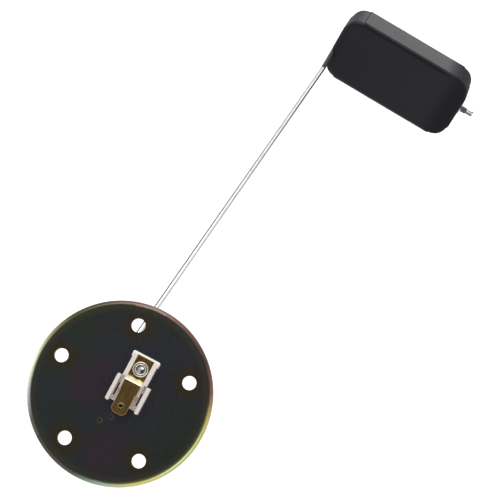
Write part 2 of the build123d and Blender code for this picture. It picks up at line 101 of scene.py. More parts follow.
# one node tree, for the sky, a finish or geometry
class Sheet:
    def __init__(self, tree):
        self.tree = tree

    def node(self, kind, settings=None, sockets=None):
        made = self.tree.nodes.new(kind)
        for key, value in (settings or {}).items():
            if key == "stops":
                ramp = made.color_ramp.elements
                while len(ramp) < len(value):
                    ramp.new(0.5)
                for stop, (place, color) in zip(ramp, value):
                    stop.position = place
                    stop.color = (*color, 1.0)
            else:
                setattr(made, key, value)
        for key, value in (sockets or {}).items():
            self.feed(made.inputs[key], value)
        return Signal(self, made.outputs[0]) if made.outputs else made

    def feed(self, socket, value):
        if isinstance(value, Signal):
            self.tree.links.new(value.socket, socket)
        else:
            socket.default_value = value

    def maths(self, operation, first, second=0.0):
        return self.node("ShaderNodeMath", {"operation": operation}, {0: first, 1: second})

    def step(self, value, low, high):
        # 0 below low, 1 above high, smooth between, and the reverse where low is the higher of the two
        return self.node("ShaderNodeMapRange", {"interpolation_type": "SMOOTHSTEP"},
                         {"Value": value, "From Min": low, "From Max": high})

    def band(self, value, start, full, fall, end):
        # 1 between full and fall, 0 before start and after end
        return self.step(value, start, full) * (1 - self.step(value, fall, end))

    def blend(self, factor, first, second):
        mix = self.node("ShaderNodeMix", {"data_type": "RGBA"}, {0: factor})
        self.feed(mix.socket.node.inputs[6], first if isinstance(first, Signal) else (*first, 1.0))
        self.feed(mix.socket.node.inputs[7], second if isinstance(second, Signal) else (*second, 1.0))
        return mix.pick(2)

    def xyz(self, vector):
        split = self.node("ShaderNodeSeparateXYZ", None, {0: vector})
        return split, split.pick(1), split.pick(2)


# a material, with x, y and z of the part's own coordinates at hand
class Finish(Sheet):
    def __init__(self, name, roughness, metallic=0.0, **constants):
        self.material = bpy.data.materials.new(name)
        self.material.use_nodes = True
        super().__init__(self.material.node_tree)
        self.shader = self.tree.nodes["Principled BSDF"]
        self.put("Roughness", roughness)
        self.put("Metallic", metallic)
        for key, value in constants.items():
            self.put(key.replace("_", " "), value)
        self.where = self.node("ShaderNodeTexCoord").pick("Object")
        self.x, self.y, self.z = self.xyz(self.where)

    def put(self, name, value):
        self.feed(self.shader.inputs[name], value)

    def soFar(self, name):
        # what feeds a socket of the shader by now
        return Signal(self, self.shader.inputs[name].links[0].from_socket)

    def color(self, value):
        self.put("Base Color", value)

    def bump(self, height, depth):
        # depth is the height of the bumps in metres
        self.put("Normal", self.node("ShaderNodeBump", None, {
            "Height": height, "Strength": 1.0, "Distance": depth}))

    def turned(self, angles, scale):
        # object coordinates turned by angles in degrees, then stretched, for grain that runs one way
        settings = {"vector_type": "POINT"}
        flat = self.node("ShaderNodeMapping", settings,
                         {"Vector": self.where, "Rotation": [radians(a) for a in angles]})
        return self.node("ShaderNodeMapping", settings, {"Vector": flat, "Scale": scale})

    def placed(self, frameMatrix):
        # x, y and z in a frame of the part's own, such as along the float
        undone = frameMatrix.inverted()
        return [self.node("ShaderNodeVectorMath", {"operation": "DOT_PRODUCT"},
                          {0: self.where, 1: undone[row][:3]}).pick("Value") + undone[row][3]
                for row in range(3)]

    def distance(self, left, front):
        # from an upright line through a point
        u = self.x - left
        v = self.y - front
        return (u * u + v * v) ** 0.5

    def noise(self, size, detail=3.0, where=None, shift=0.0):
        # size is that of one blotch, in metres, and shift picks another pattern
        return self.node("ShaderNodeTexNoise", {"noise_dimensions": "4D"},
                         {"Vector": where or self.where, "W": shift, "Scale": 1.0 / size,
                          "Detail": detail, "Roughness": 0.55})


def added(name, data):
    made = bpy.data.objects.new(name, data)
    scene.collection.objects.link(made)
    return made


# camera, as the photograph was taken
camera = {
    "place": (0.06093, 0.00537, 0.58036),
    "right": (0.84055, 0.54169, -0.00701),
    "up": (-0.53523, 0.83238, 0.14379),
    "back": (0.08373, -0.11711, 0.98958),
    "lens": 108.0,
    "sensor": 36.0,
    "nearest": 0.01,
    "farthest": 50.0,
}
lensData = bpy.data.cameras.new("photoCamera")
lensData.lens = camera["lens"]
lensData.sensor_width = camera["sensor"]
lensData.sensor_fit = "HORIZONTAL"
lensData.clip_start = camera["nearest"]
lensData.clip_end = camera["farthest"]
eye = added("photoCamera", lensData)
facing = Matrix((camera["right"], camera["up"], camera["back"])).transposed()
eye.matrix_world = Matrix.Translation(camera["place"]) @ facing.to_4x4()
scene.camera = eye

# where the part stands: the sender's own frame, the arm and the blade, in metres and degrees
stance = {
    "turn": 2.0,
    "drop": 0.024,
    "slope": 28.0,
    "terminal": (0.0020, 0.0118, 0.0022),
    "terminalTurn": -84.75,
}
pivot = Vector((0.0, 0.0, -stance["drop"]))
senderFrame = Matrix.Rotation(radians(stance["turn"]), 4, "Z")
pivotFrame = senderFrame @ Matrix.Translation(pivot)
armFrame = pivotFrame @ Matrix.Rotation(radians(-stance["slope"]), 4, "X")
terminalFrame = (Matrix.Translation(stance["terminal"])
                 @ Matrix.Rotation(radians(stance["terminalTurn"]), 4, "Z"))

# the wire's line, from its tail in the lever to its tip past the float
armWire = {
    "offset": -0.01035,
    "tail": 0.0050,
    "reach": 0.2060,
    "kinkAngle": 3.2,
    "endRun": 0.0236,
    "axleTurn": 2.5,
    "axleDip": 3.8,
    "axleLength": 0.0743,
}
kink = radians(armWire["kinkAngle"])
axleCorner = Vector((armWire["offset"] - armWire["endRun"] * sin(kink),
                     armWire["reach"] + armWire["endRun"] * cos(kink), 0))
axleFrame = (Matrix.Translation(axleCorner) @ Matrix.Rotation(radians(armWire["axleTurn"]), 4, "Z")
             @ Matrix.Rotation(radians(armWire["axleDip"]), 4, "Y"))

# soft studio: pale floor, white surroundings, a darker ceiling behind the camera
studio = {
    "floorSize": 4.0,
    "floorRoughness": 0.9,
    "floorColor": (0.88, 0.88, 0.88),
    "floorShade": (0.80, 0.80, 0.80),
    "floorMottle": 0.03,
    "floorGrain": 0.004,
    "floorGlow": (0.36, 0.36, 0.36),
    "skyLow": (1.0, 1.0, 1.0),
    "skyHigh": (0.10, 0.10, 0.11),
    "skyBreak": (0.78, 0.95),
    "aim": (0.0, 0.09, -0.04),
    "lamps": (    # name, place, size and power
        ("keyLamp", (-0.60, 1.00, 0.90), 1.2, 7.0),
        ("sideLamp", (1.00, -0.25, 0.70), 1.0, 3.0),
    ),
}
scene.view_settings.view_transform = "Standard"
world = bpy.data.worlds.new("studioWorld")
world.use_nodes = True
scene.world = world
sky = Sheet(world.node_tree)
skyUp = sky.xyz(sky.node("ShaderNodeTexCoord"))[2]
ceiling = sky.step(skyUp, *studio["skyBreak"])
background = world.node_tree.nodes["Background"]
sky.feed(background.inputs["Color"], sky.blend(ceiling, studio["skyLow"], studio["skyHigh"]))
sky.feed(background.inputs["Strength"], 1.0)

# the floor glows where the camera sees it, straight or mirrored, and keeps the part's shadow
floorFinish = Finish("floorPaper", studio["floorRoughness"])
mottling = floorFinish.noise(studio["floorGrain"]) * studio["floorMottle"]
floorFinish.color(floorFinish.blend(mottling, studio["floorColor"], studio["floorShade"]))
rays = floorFinish.node("ShaderNodeLightPath")
seen = rays + rays.pick("Is Glossy Ray") + rays.pick("Is Transmission Ray")
floorFinish.put("Emission Color", floorFinish.blend(seen, (0.0, 0.0, 0.0), studio["floorGlow"]))
floorFinish.put("Emission Strength", 1.0)
half = studio["floorSize"] / 2
armReach = max((Vector(point) - pivot).length for point in product(*zip(*cadBox)))
level = pivot.z - armReach    # the float clears the floor wherever the arm swings
floorMesh = bpy.data.meshes.new("floor")
floorCorners = [(half * x, half * y, level) for x, y in ((-1, -1), (1, -1), (1, 1), (-1, 1))]
floorMesh.from_pydata(floorCorners, [], [(0, 1, 2, 3)])
floorMesh.materials.append(floorFinish.material)
added("floor", floorMesh)
for name, place, size, power in studio["lamps"]:
    lampData = bpy.data.lights.new(name, "AREA")
    lampData.shape = "DISK"
    lampData.size = size
    lampData.energy = power
    toward = Vector(studio["aim"]) - Vector(place)
    lamp = added(name, lampData)
    lamp.matrix_world = Matrix.Translation(place) @ toward.to_track_quat("-Z", "Y").to_matrix().to_4x4()
print("studio set")

# plain metals and plastics: blotches and a finer grain mix two tones, and the grain also dulls them
mottle = {
    "metal": {"patchShare": 0.7, "toneBreak": (0.36, 0.66), "dulling": 0.12},
    "plastic": {"patchShare": 0.8, "toneBreak": (0.35, 0.70), "dulling": 0.10},
}
finishes = {}


def mottled(made, kind, base, shade, roughness, grain, patch):
    share = mottle[kind]["patchShare"]
    dulling = mottle[kind]["dulling"]
    tone = made.step(patch * share + grain * (1 - share), *mottle[kind]["toneBreak"])
    made.color(made.blend(tone, shade, base))
    made.put("Roughness", roughness - dulling / 2 + grain * dulling)
    return made


def metal(name, base, shade, roughness, grain=(1, 1, 1), turned=(0, 0, 0), size=0.0012, depth=0.000003,
          blotch=0.006):
    made = Finish(name, roughness, 1.0)
    lines = made.noise(size, 4.0, where=made.turned(turned, grain))
    made.bump(lines, depth)
    return mottled(made, "metal", base, shade, roughness, lines, made.noise(blotch, shift=2.0))


def plastic(name, base, shade, roughness, size=0.0008, depth=0.00002, blotch=0.008, **constants):
    made = Finish(name, roughness, **constants)
    grain = made.noise(size)
    made.bump(grain, depth)
    return mottled(made, "plastic", base, shade, roughness, grain, made.noise(blotch, shift=1.0))


# dark passivated zinc: the film is thin on the face and shows its colours round the rolled edge, where the
# light and dark bands that run round the rim are painted reflection of the surroundings
passivate = {
    "smooth": 0.22,
    "fleckDulling": 0.16,
    "cloudSize": 0.050,
    "wispSize": 0.035,
    "fleckSize": 0.0005,
    "fleckDepth": 0.000008,
    "blue": (0.085, 0.110, 0.115),
    "plum": (0.150, 0.088, 0.122),
    "plumBreak": (0.40, 0.62),
    "plumShare": 0.22,
    "plumSpots": (    # place and spread
        (-0.0130, -0.0020, 0.017),
        (0.0080, -0.0210, 0.018),
        (-0.0200, 0.0170, 0.007),
    ),
    "plumWander": 0.012,
    "green": (0.090, 0.115, 0.075),
    "greenBreak": (0.45, 0.68),
    "greenShare": 0.7,
    "halo": (0.135, 0.100, 0.045),    # round the bolt holes
    "haloReach": (0.0028, 0.0085),
    "haloWander": 0.006,
    "haloShare": 0.95,
    "boltCircle": 0.027,
    "boltAngles": (180.0, 108.0, 41.0, -41.0, -108.0),
    "weldRing": (0.0007, 0.0010, 0.0011, 0.0014),    # where it starts, is full, falls and ends
    "weldMarks": (    # place and tint
        (-0.00085, -0.01280, (0.22, 0.21, 0.03)),
        (0.00220, -0.00945, (0.20, 0.12, 0.17)),
    ),
    "weldWander": 0.0008,
    "weldShare": 0.6,
    "fleck": (0.16, 0.16, 0.15),
    "fleckShare": 0.25,
    "olive": (0.30, 0.25, 0.09),    # on the way to the rim
    "oliveStart": 0.0312,
    "oliveShare": 0.25,
    "rimStart": 0.0336,
    "rimFull": 0.0352,
    "rimLean": (0.0079, -0.0010),
    "rimWander": 0.0008,
    "rimSeam": 240.0,    # degrees from +X at which the colours below begin
    # colours round the rim by angle: the passivate's tints mixed with painted reflection, bright and dark by
    # direction
    "rim": (
        (0.000, (0.055, 0.055, 0.050)),
        (0.090, (0.090, 0.095, 0.085)),
        (0.146, (0.32, 0.43, 0.32)),
        (0.200, (0.60, 0.54, 0.18)),
        (0.270, (0.36, 0.41, 0.19)),
        (0.330, (0.34, 0.38, 0.15)),
        (0.375, (0.46, 0.38, 0.14)),
        (0.425, (0.20, 0.11, 0.08)),
        (0.480, (0.09, 0.055, 0.045)),
        (0.540, (0.15, 0.085, 0.07)),
        (0.600, (0.22, 0.13, 0.12)),
        (0.650, (0.13, 0.085, 0.07)),
        (0.710, (0.065, 0.05, 0.027)),
        (0.765, (0.085, 0.070, 0.030)),
        (0.815, (0.37, 0.35, 0.17)),
        (0.868, (0.88, 0.98, 0.62)),
        (0.924, (0.49, 0.53, 0.53)),
        (0.970, (0.10, 0.10, 0.095)),
    ),
}
zinc = Finish("zincFlange", passivate["smooth"], 1.0)
cloud = zinc.noise(passivate["cloudSize"], 2.0)
wisp = zinc.noise(passivate["wispSize"], 2.0, shift=4.0)
fleck = zinc.noise(passivate["fleckSize"], 4.0)
plum = zinc.step(cloud, *passivate["plumBreak"]) * passivate["plumShare"]
for left, front, spread in passivate["plumSpots"]:
    away = zinc.distance(left, front) + (wisp - 0.5) * passivate["plumWander"]
    plum = zinc.maths("MAXIMUM", plum, 1 - zinc.step(away, 0.0, spread))
face = zinc.blend(plum, passivate["blue"], passivate["plum"])
green = zinc.step(wisp, *passivate["greenBreak"]) * passivate["greenShare"]
face = zinc.blend(green, face, passivate["green"])
circle = passivate["boltCircle"]
holes = [zinc.distance(circle * cos(radians(bolt)), circle * sin(radians(bolt)))
         for bolt in passivate["boltAngles"]]
nearest = holes[0]
for hole in holes[1:]:
    nearest = zinc.maths("MINIMUM", nearest, hole)
halo = 1 - zinc.step(nearest + (wisp - 0.5) * passivate["haloWander"], *passivate["haloReach"])
face = zinc.blend(halo * passivate["haloShare"], face, passivate["halo"])
radius = zinc.distance(0.0, 0.0)
olive = zinc.step(radius, passivate["oliveStart"], passivate["rimStart"]) * passivate["oliveShare"]
face = zinc.blend(olive, face, passivate["olive"])
for left, front, tint in passivate["weldMarks"]:
    away = zinc.distance(left, front) + (fleck - 0.5) * passivate["weldWander"]
    face = zinc.blend(zinc.band(away, *passivate["weldRing"]) * passivate["weldShare"], face, tint)
face = zinc.blend(fleck * passivate["fleckShare"], face, passivate["fleck"])
angle = zinc.maths("ARCTAN2", zinc.y, zinc.x)
fromSeam = angle / (2 * pi) + (2 - passivate["rimSeam"] / 360)    # in turns, kept above 0
# painted reflection round the rim, with the passivate's tints
filmAndReflection = zinc.node("ShaderNodeValToRGB", {"stops": passivate["rim"]}, {0: zinc.maths("FRACT", fromSeam)})
# the painted rim band reaches further in towards +X
lean = zinc.x * passivate["rimLean"][0] + zinc.y * passivate["rimLean"][1]
outer = radius + lean + (wisp - 0.5) * passivate["rimWander"]
zinc.color(zinc.blend(zinc.step(outer, passivate["rimStart"], passivate["rimFull"]), face, filmAndReflection))
zinc.put("Roughness", passivate["smooth"] + fleck * passivate["fleckDulling"])
zinc.bump(fleck, passivate["fleckDepth"])
finishes["zinc_plated_flange"] = zinc
finishes["zinc_plated_sheet"] = metal("zincSheet", (0.60, 0.57, 0.38), (0.53, 0.48, 0.33), 0.30,
                                      grain=(1, 1, 0.08), size=0.0006, blotch=0.012)

# natural nylon, warm-tinted, and whiter on the end bar
nylonFinish = {
    "warmTone": (0.74, 0.67, 0.63),
    "warmToneDark": (0.69, 0.62, 0.58),
    "roughness": 0.45,
    "endBar": (0.88, 0.87, 0.80),
    "barSpan": (-0.0050, -0.0046),    # along the blade, from the rivet
}
nylon = plastic("nylon", nylonFinish["warmTone"], nylonFinish["warmToneDark"], nylonFinish["roughness"])
behind = 1 - nylon.step(nylon.placed(terminalFrame)[0], *nylonFinish["barSpan"])
nylon.color(nylon.blend(behind, nylon.soFar("Base Color"), nylonFinish["endBar"]))
finishes["nylon"] = nylon

# rolled brass: tarnished flats; the joggle is painted bright, a painted highlight where its slope catches
# the light, with a painted shade line at its foot
bladeFinish = {
    "flat": (0.66, 0.42, 0.15),
    "tarnish": (0.42, 0.25, 0.08),
    "roughness": 0.24,
    # painted highlight on the joggle's slope
    "bendHighlight": (0.98, 0.88, 0.58),
    "bendHighlightSpan": (0.0036, 0.0040, 0.0056, 0.0059),
    # painted shade in the crease at the joggle's foot
    "foot": (0.20, 0.13, 0.03),
    "footShadeSpan": (0.0029, 0.0031, 0.0036, 0.0040),
}
blade = metal("brassBlade", bladeFinish["flat"], bladeFinish["tarnish"], bladeFinish["roughness"],
              grain=(1, 0.06, 1), turned=(0, 0, -90 - stance["terminalTurn"]))
alongBlade = blade.placed(terminalFrame)[0]
# painted shade at the joggle's foot, then the painted highlight on its slope
flatsAndFootShade = blade.blend(blade.band(alongBlade, *bladeFinish["footShadeSpan"]), blade.soFar("Base Color"),
                        bladeFinish["foot"])
blade.color(blade.blend(blade.band(alongBlade, *bladeFinish["bendHighlightSpan"]), flatsAndFootShade, bladeFinish["bendHighlight"]))
finishes["brass_blade"] = blade

# bright brass rivets, the terminal's with a steel mandrel in its bore
rivetFinish = {
    "bright": (0.88, 0.84, 0.77),
    "shade": (0.76, 0.70, 0.60),
    "roughness": 0.18,
    "mandrel": (0.38, 0.385, 0.40),
    "mandrelEdge": (0.0017, 0.0018),    # from the rivet's middle
    "mandrelLow": (0.0039, 0.0040),    # above the sealing face
}
brassRivet = metal("brassRivet", rivetFinish["bright"], rivetFinish["shade"], rivetFinish["roughness"])
core = ((1 - brassRivet.step(brassRivet.distance(*stance["terminal"][:2]), *rivetFinish["mandrelEdge"]))
        * brassRivet.step(brassRivet.z, *rivetFinish["mandrelLow"]))
brassRivet.color(brassRivet.blend(core, brassRivet.soFar("Base Color"), rivetFinish["mandrel"]))
finishes["brass_rivet"] = brassRivet

finishes["brass_strip"] = metal("brassStrip", (0.66, 0.48, 0.22), (0.48, 0.34, 0.15), 0.28,
                                grain=(1, 0.06, 0.06), turned=(0, 0, -stance["turn"]))
finishes["phenolic"] = plastic("phenolic", (0.20, 0.10, 0.06), (0.14, 0.07, 0.04), 0.5)
finishes["steel_bright"] = metal("steelBright", (0.66, 0.66, 0.67), (0.52, 0.52, 0.53), 0.25)
finishes["fibre_card"] = plastic("fibreCard", (0.36, 0.20, 0.12), (0.28, 0.15, 0.09), 0.6)
finishes["resistance_wire"] = metal("resistanceWire", (0.56, 0.52, 0.46), (0.44, 0.40, 0.35), 0.3)
finishes["bronze_bush"] = metal("bronzeBush", (0.50, 0.34, 0.20), (0.34, 0.22, 0.13), 0.42,
                                size=0.0003, depth=0.00003)
finishes["spring_steel"] = metal("springSteel", (0.30, 0.31, 0.34), (0.18, 0.19, 0.24), 0.3)
finishes["acetal"] = plastic("acetal", (0.07, 0.07, 0.08), (0.05, 0.05, 0.06), 0.4)
finishes["bronze_spring"] = metal("bronzeSpring", (0.62, 0.42, 0.24), (0.46, 0.30, 0.16), 0.28)
finishes["silver_contact"] = metal("silverContact", (0.84, 0.83, 0.80), (0.64, 0.62, 0.56), 0.2)
finishes["dark_collar"] = plastic("darkCollar", (0.10, 0.10, 0.10), (0.07, 0.07, 0.07), 0.55)

# smooth-skinned foam: a dark, dull line painted where its long flat begins, painted shade of the step there,
# and scuffs towards both ends
foamFinish = {
    "skin": (0.0052, 0.0050, 0.0098),
    "worn": (0.0040, 0.0040, 0.0064),
    "roughness": 0.36,
    "gloss": 0.27,
    "turn": 63.5,    # of the float round its axle
    # painted shade of the step where the long flat begins
    "line": (0.0010, 0.0010, 0.0014),
    "shadeLineAt": 0.00645,    # along the axle, from the wire's corner
    "shadeLineWidth": (0.00012, 0.00030),
    "shadeLineDepth": (0.0085, 0.0092),
    "shadeLineDulling": 0.4,
    "nearEnd": (0.0066, 0.0010, 0.30),    # along the axle: where it is clean, fully scuffed, and how dull
    "farEnd": (0.0500, 0.0620, 0.48),
}
foamSkin = plastic("foamFloat", foamFinish["skin"], foamFinish["worn"], foamFinish["roughness"],
                   size=0.0007, depth=0.000006, blotch=0.02, Specular_IOR_Level=foamFinish["gloss"])
floatFrame = armFrame @ axleFrame @ Matrix.Rotation(radians(foamFinish["turn"]), 4, "X")
alongFloat, throughFloat = foamSkin.placed(floatFrame)[::2]
# the painted shade line at the step, across the float's side
line = ((1 - foamSkin.step(abs(alongFloat - foamFinish["shadeLineAt"]), *foamFinish["shadeLineWidth"]))
        * (1 - foamSkin.step(abs(throughFloat), *foamFinish["shadeLineDepth"])))
foamSkin.color(foamSkin.blend(line, foamSkin.soFar("Base Color"), foamFinish["line"]))
dull = foamSkin.soFar("Roughness") + line * foamFinish["shadeLineDulling"]
for end in ("nearEnd", "farEnd"):
    clean, full, dulling = foamFinish[end]
    dull = dull + foamSkin.step(alongFloat, clean, full) * dulling
foamSkin.put("Roughness", dull)
finishes["foam_float"] = foamSkin

# bright drawn wire: the dark lines along its flanks are painted reflection of dark surroundings, and beside
# the float it is painted dark, a painted shade and reflection of the black float
drawnWire = {
    "bright": (0.95, 0.95, 0.95),
    "shade": (0.84, 0.84, 0.85),
    "shadeSize": 0.003,
    "shadeBreak": (0.35, 0.65),
    # the colour of the painted reflection lines
    "line": (0.022, 0.022, 0.022),
    # each flank's dark line is painted reflection of dark surroundings
    "leftLine": (-2.70, 0.80, 0.98),    # angle round the wire, and how far it is full and gone
    "rightLine": (-0.22, 0.74, 0.98),
    "leftFade": (0.84, 0.48),    # strength near the flange and near the float
    "rightFade": (0.50, 0.92),
    "fadeSpan": (0.06, 0.18),    # along Y, from the one to the other
    # painted shade and reflection of the black float, on the wire beside it
    "skin": (0.032, 0.032, 0.035),
    "floatShadeStart": (0.1814, 0.1820),    # along Y, where the float begins
    "floatShadeSide": (0.030, 0.032),    # along X, so that the tip past the float is bare
    "tip": (0.0520, 0.0524),    # along X
    "tipDulling": 0.75,
    "tipPaintedBands": (    # once round the wire
        (0.00, (0.02, 0.02, 0.02)),
        (0.25, (0.02, 0.02, 0.02)),
        (0.27, (0.80, 0.80, 0.80)),
        (0.36, (0.80, 0.80, 0.80)),
        (0.39, (0.20, 0.20, 0.20)),
        (0.60, (0.20, 0.20, 0.20)),
        (0.90, (0.02, 0.02, 0.02)),
    ),
    "smooth": 0.10,
    "scuffSize": 0.0008,
    "scuffDepth": 0.000002,
    "scuffRough": 0.10,
    "floatShadeRough": 0.25,
    "tipRough": 0.40,
}
wire = Finish("brightWire", drawnWire["smooth"], 1.0)
around = wire.node("ShaderNodeAttribute", {"attribute_name": "around"}).pick("Vector")
sideways, upright = wire.xyz(around)[:2]
turnRound = wire.maths("ARCTAN2", upright, sideways)
outward = wire.step(wire.y, *drawnWire["fadeSpan"])
# beside the float the wire is painted dark and not metallic, a painted shade and reflection of the float
skin = wire.step(wire.y, *drawnWire["floatShadeStart"]) * (1 - wire.step(wire.x, *drawnWire["floatShadeSide"]))


# a painted reflection line along one flank, its strength changing along Y
def paintedDarkLine(side):
    middle, full, gone = drawnWire[side + "Line"]
    near, far = drawnWire[side + "Fade"]
    return (outward * (far - near) + near) * (1 - wire.step(abs(turnRound - middle), full, gone))


tone = wire.step(wire.noise(drawnWire["shadeSize"]), *drawnWire["shadeBreak"])
tone = wire.blend(tone, drawnWire["shade"], drawnWire["bright"])
tone = wire.blend(paintedDarkLine("right"), tone, drawnWire["line"])
tone = wire.blend(skin, tone, drawnWire["skin"])
tone = wire.blend(paintedDarkLine("left"), tone, drawnWire["line"])
# the cropped tip is dull, and painted in bands round the wire: painted shade on the side of its burr, a
# painted highlight beside it, and grey round the rest
cropped = wire.step(wire.x, *drawnWire["tip"])
tipPaintedTone = wire.node("ShaderNodeValToRGB", {"stops": drawnWire["tipPaintedBands"]}, {0: turnRound / (2 * pi) + 0.5})
wire.color(wire.blend(cropped, tone, tipPaintedTone))
wire.put("Metallic", 1 - skin - cropped * drawnWire["tipDulling"])
scuff = wire.noise(drawnWire["scuffSize"])
wire.put("Roughness", drawnWire["smooth"] + scuff * drawnWire["scuffRough"] + skin * drawnWire["floatShadeRough"]
         + cropped * drawnWire["tipRough"])
wire.bump(scuff, drawnWire["scuffDepth"])
finishes["bright_wire"] = wire

for node in nodes.values():
    for index, current in enumerate(node.data.materials):
        node.data.materials[index] = finishes[current.name].material
print("finishes on", len(nodes), "parts")


sameCorner = 0.000002    # a node's triangles are loose, and their corners this near are one


def merged(node, near=sameCorner):
    # a copy of a node's mesh with its triangles joined
    made = bmesh.new()
    made.from_mesh(nodes[node].data)
    bmesh.ops.remove_doubles(made, verts=made.verts, dist=near)
    return made


def freed(made, name):
    mesh = bpy.data.meshes.new(name)
    made.to_mesh(mesh)
    made.free()
    return mesh


def settled(piece):
    # a piece and its modifiers as one plain mesh
    bpy.context.view_layer.update()
    mesh = bpy.data.meshes.new_from_object(piece.evaluated_get(bpy.context.evaluated_depsgraph_get()))
    piece.modifiers.clear()
    piece.data = mesh
    return mesh


def shade(mesh, sharp):
    # smooth, but for the edges that turn by more than sharp, in degrees
    mesh.shade_smooth()
    mesh.set_sharp_from_angle(angle=radians(sharp))
    return mesh


def fit(name, mesh, body, slot, node, place=None):
    # puts a made mesh in its place, gives it its finish, hangs it on its body and hides the node it stands
    # for
    if place:
        mesh.transform(place)
    mesh.update()
    piece = bpy.data.objects.get(name) or added(name, mesh)
    piece.data = mesh
    mesh.materials.clear()
    mesh.materials.append(finishes[slot].material)
    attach(piece, body)
    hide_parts(node)


# a geometry tree with named inputs
class Growth(Sheet):
    def __init__(self, name, values):
        super().__init__(bpy.data.node_groups.new(name, "GeometryNodeTree"))
        sockets = self.tree.interface
        sockets.new_socket(name="Base", in_out="INPUT", socket_type="NodeSocketGeometry")
        for label, value in values.items():
            kind = "NodeSocketInt" if isinstance(value, int) else "NodeSocketFloat"
            sockets.new_socket(name=label, in_out="INPUT", socket_type=kind)
        sockets.new_socket(name="Result", in_out="OUTPUT", socket_type="NodeSocketGeometry")
        self.values = values
        self.inputs = self.node("NodeGroupInput")

    def given(self, name):
        return self.inputs.pick(name)

    def close(self, geometry, slot):
        real = self.node("GeometryNodeRealizeInstances", None, {0: geometry})
        coated = self.node("GeometryNodeSetMaterial", None,
                           {"Geometry": real, "Material": finishes[slot].material})
        self.node("NodeGroupOutput", None, {0: coated})

    def grow(self, name, base):
        piece = added(name, base)
        modifier = piece.modifiers.new("growth", "NODES")
        modifier.node_group = self.tree
        for item in self.tree.interface.items_tree:
            if item.in_out == "INPUT" and item.name in self.values:
                modifier[item.identifier] = self.values[item.name]
        return settled(piece)


# arm wire: one rod, bent twice, through the float
rodSizes = {
    "Wire Radius": 0.0011,
    "Kink Radius": 0.020,
    "Bend Radius": 0.0025,
    "Bend Points": 14,
    "Sides": 28,
}
rodTree = Growth("bentRod", rodSizes)
widening = rodTree.given("Bend Radius") - rodTree.given("Kink Radius")
bendRadius = rodTree.given("Kink Radius") + (rodTree.node("GeometryNodeInputIndex") - 1) * widening
spine = rodTree.node("GeometryNodeMeshToCurve", None, {"Mesh": rodTree.given("Base")})
spine = rodTree.node("GeometryNodeFilletCurve", {"mode": "POLY"},
                     {"Curve": spine, "Count": rodTree.given("Bend Points"), "Radius": bendRadius})
rim = rodTree.node("GeometryNodeCurvePrimitiveCircle", {"mode": "RADIUS"},
                   {"Resolution": rodTree.given("Sides"), "Radius": rodTree.given("Wire Radius")})
rim = rodTree.node("GeometryNodeStoreNamedAttribute", {"data_type": "FLOAT_VECTOR", "domain": "POINT"},
                   {"Geometry": rim, "Name": "around", "Value": rodTree.node("GeometryNodeInputPosition")})
rodTree.close(rodTree.node("GeometryNodeCurveToMesh", None,
                           {"Curve": spine, "Profile Curve": rim, "Fill Caps": True}), "bright_wire")
route = [Vector((armWire["offset"], -armWire["tail"], 0)), Vector((armWire["offset"], armWire["reach"], 0)),
         axleCorner, axleFrame @ Vector((armWire["axleLength"], 0, 0))]
routeMesh = bpy.data.meshes.new("rodLine")
routeMesh.from_pydata(route, [(0, 1), (1, 2), (2, 3)], [])
rodMesh = rodTree.grow("armWire", routeMesh)

# the burr that the shears left on the tip: a sliver that narrows from its foot to its crown
burr = {
    "length": 0.0007,
    "foot": 0.0006,
    "crown": 0.0018,
    "lengthTaper": 0.9,
    "widthTaper": 0.8,
    # the burr gets the tip's painted shade
    "shadeSide": (-1.0, 0.0, 0.0),    # it takes the tone of the wire's dark side
}
tip = armWire["axleLength"]
sliver = bmesh.new()
sliver.from_mesh(rodMesh)
around = sliver.verts.layers.float_vector["around"]
burrCorners = []
for height, lengthShare, widthShare in ((burr["foot"], 1, 1),
                                        (burr["crown"], burr["lengthTaper"], burr["widthTaper"])):
    back = tip - burr["length"] * lengthShare
    side = burr["length"] * widthShare / 2
    for x, z in ((back, -side), (tip, -side), (tip, side), (back, side)):
        vert = sliver.verts.new(axleFrame @ Vector((x, height, z)))
        vert[around] = Vector(burr["shadeSide"])
        burrCorners.append(vert)
for corners in ((3, 2, 1, 0), (4, 5, 6, 7), (0, 1, 5, 4), (1, 2, 6, 5), (2, 3, 7, 6), (3, 0, 4, 7)):
    sliver.faces.new([burrCorners[i] for i in corners])
sliver.to_mesh(rodMesh)
sliver.free()
fit("armWire", shade(rodMesh, sharp=50), "arm", "bright_wire", "arm_wire", armFrame)
print("arm wire:", len(rodMesh.vertices), "points")

# float: moulded foam with a smooth skin, drawn in by soft waves
floatSkin = {
    "voxel": 0.00045,
    "relax": 0.5,
    "relaxSteps": 2,
    "waveHeight": 0.00007,
    "waveLength": 0.014,
}
floatPiece = added("floatBody", freed(merged("float"), "floatBody"))
moulded = floatPiece.modifiers.new("skin", "REMESH")
moulded.mode = "VOXEL"
moulded.voxel_size = floatSkin["voxel"]
relaxed = floatPiece.modifiers.new("relax", "SMOOTH")
relaxed.factor = floatSkin["relax"]
relaxed.iterations = floatSkin["relaxSteps"]
foamMesh = settled(floatPiece)
outwards = [point.normal.copy() for point in foamMesh.vertices]
for point, outward in zip(foamMesh.vertices, outwards):
    swell = noise.noise(point.co / floatSkin["waveLength"])
    point.co += outward * (swell - 1.0) * floatSkin["waveHeight"] / 2
fit("floatBody", shade(foamMesh, sharp=180), "arm", "foam_float", "float")
print("float:", len(foamMesh.polygons), "faces")

